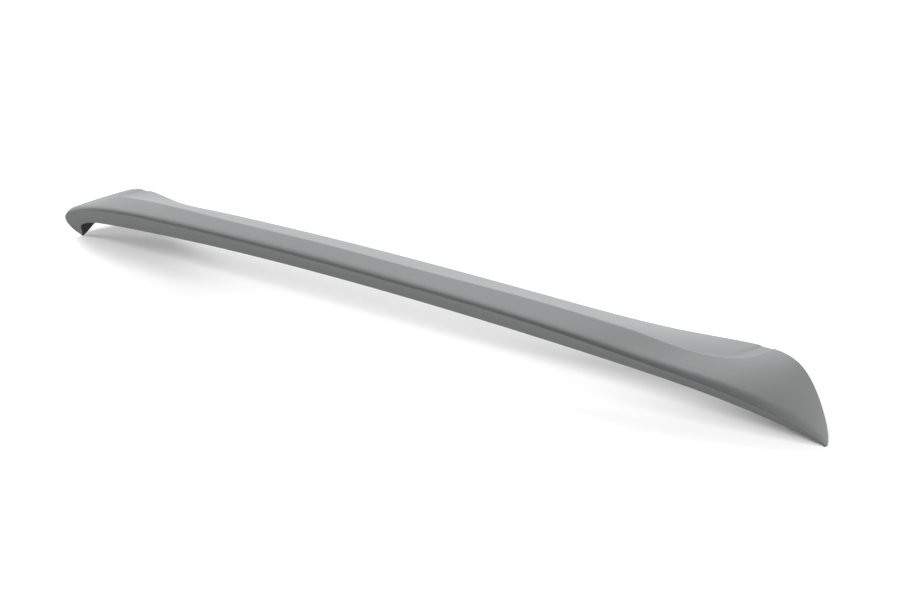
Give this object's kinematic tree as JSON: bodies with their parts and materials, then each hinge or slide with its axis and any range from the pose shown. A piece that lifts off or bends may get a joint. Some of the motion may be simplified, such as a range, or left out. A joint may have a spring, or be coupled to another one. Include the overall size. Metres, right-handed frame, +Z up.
{
  "type": "car spoiler",
  "caption": "Boot-lid spoiler for a car: thin moulded shell, open underneath, bowed to the rear, with wide ends that wrap forward and down, in grey primer",
  "frame": {"origin": "under the middle of the part, level with the lowest points of the two pointed tips", "axes": "+X across the car, +Y to the front of the car, +Z up; the part stands as it does on a level car, and its left and right halves are mirror images"},
  "size_m": [1.3036, 0.199, 0.134],
  "materials": {
    "primer": "sanded grey primer on moulded ABS outside, bare black plastic inside"
  },
  "bodies": {
    "root": {"spoiler_shell": "primer"}
  },
  "joints": []
}
